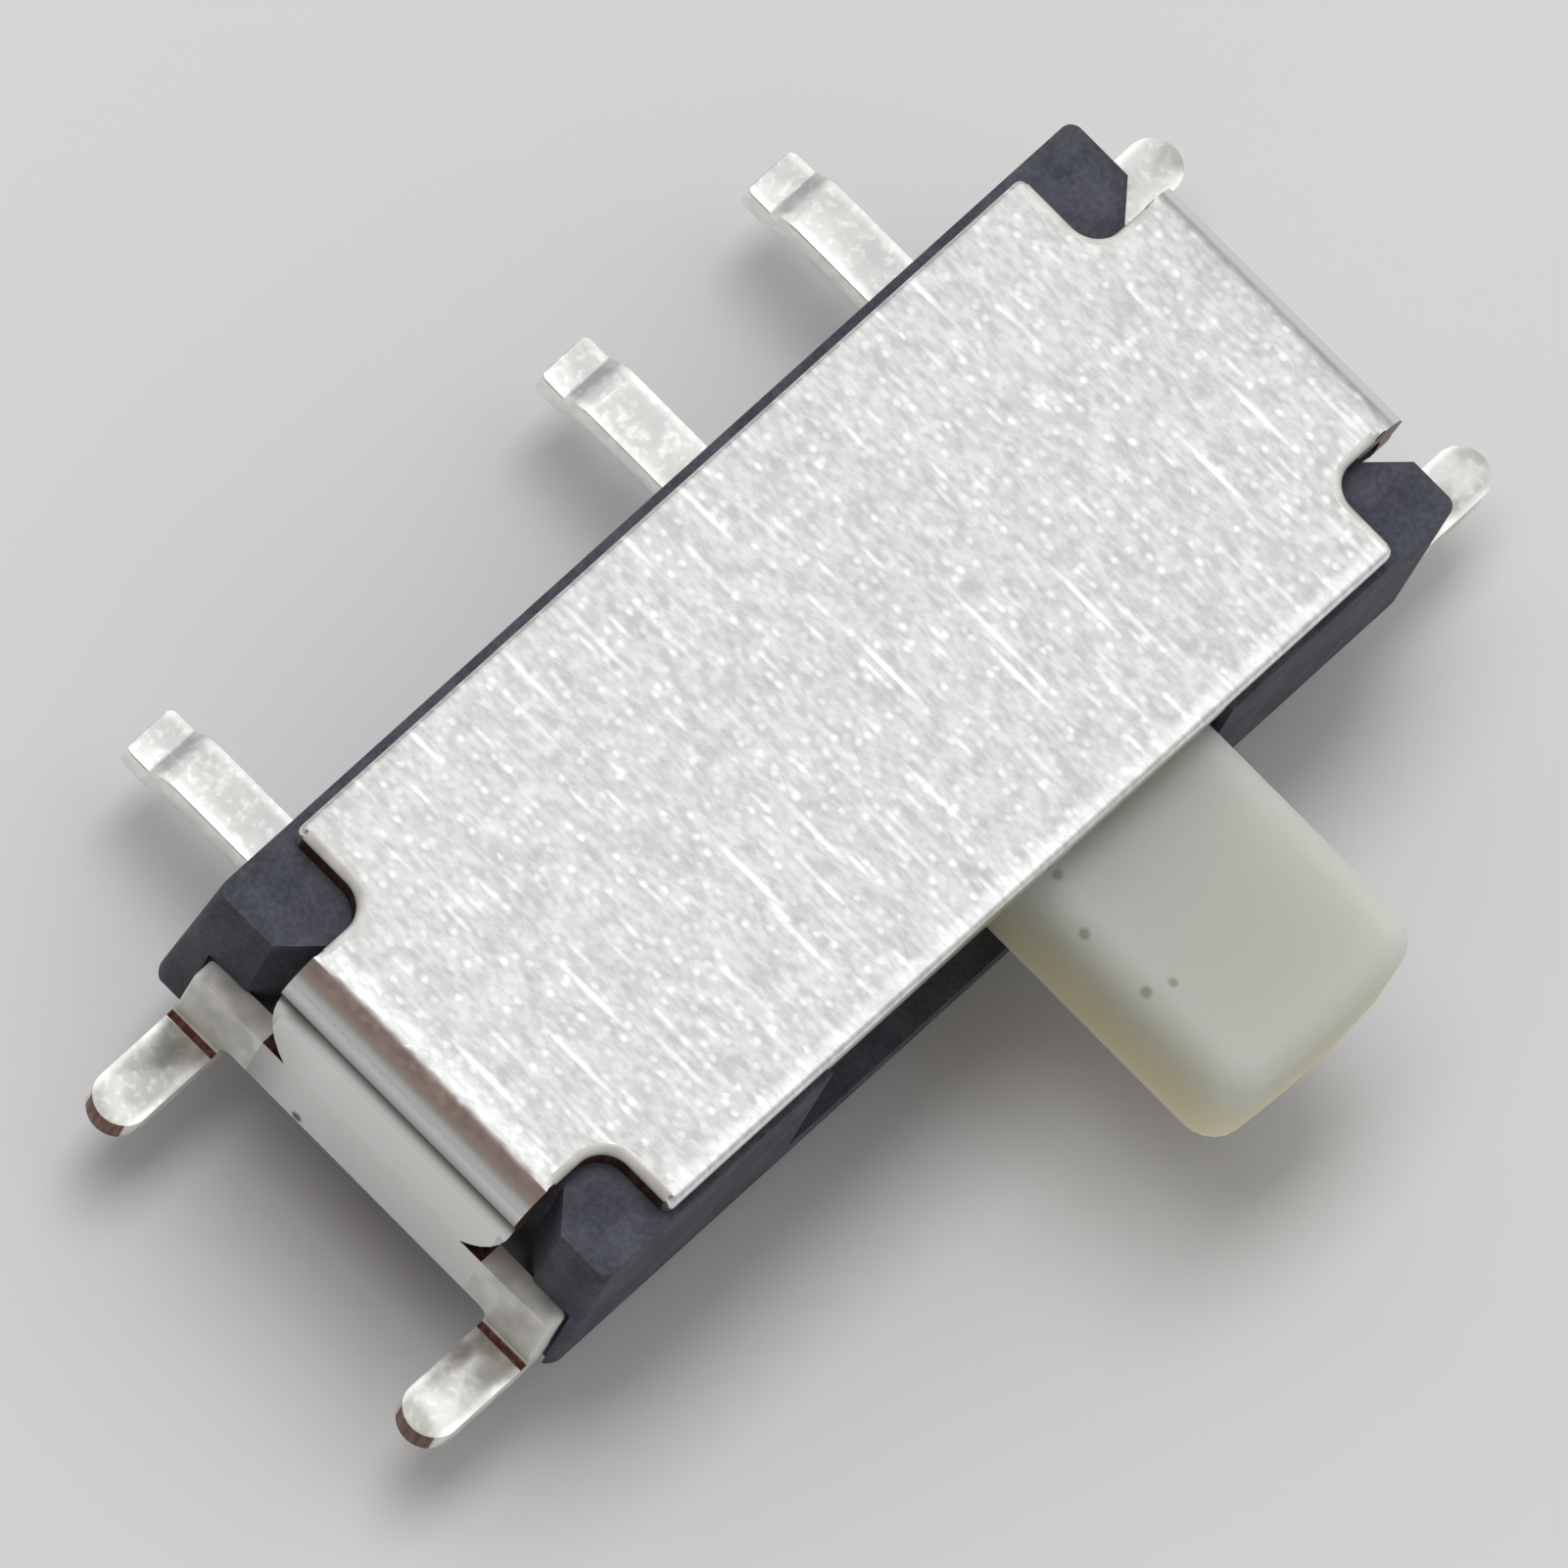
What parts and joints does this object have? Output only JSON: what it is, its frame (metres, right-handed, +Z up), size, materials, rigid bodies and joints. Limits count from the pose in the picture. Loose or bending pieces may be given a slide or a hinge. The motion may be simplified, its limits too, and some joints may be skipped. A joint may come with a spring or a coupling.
{
  "type": "slide switch",
  "caption": "Miniature surface-mount slide switch: folded metal cover on a moulded base, flat terminals at the back, and a side handle that slides to change the contact over.",
  "frame": {"origin": "on the board's face, midway between the two locating pegs", "axes": "+X along the switch, +Y towards the terminals, +Z up from the board"},
  "size_m": [0.0078, 0.0051, 0.0019],
  "materials": {
    "plated_steel": "bright tin plate with fine brushed lines",
    "moulded_plastic": "matt moulded",
    "tinned_brass": "tin plated",
    "natural_nylon": "translucent natural white, satin",
    "spring_bronze": "silver plated"
  },
  "bodies": {
    "housing": {"cover": "plated_steel", "base": "moulded_plastic", "terminal_left": "tinned_brass", "terminal_common": "tinned_brass", "terminal_right": "tinned_brass"},
    "slider": {"slider": "natural_nylon", "contact_clip": "spring_bronze"}
  },
  "joints": [
    {"name": "slider_travel", "type": "slide", "parent": "housing", "child": "slider", "axis": [1, 0, 0], "range_m": [-0.0015, 0]}
  ]
}
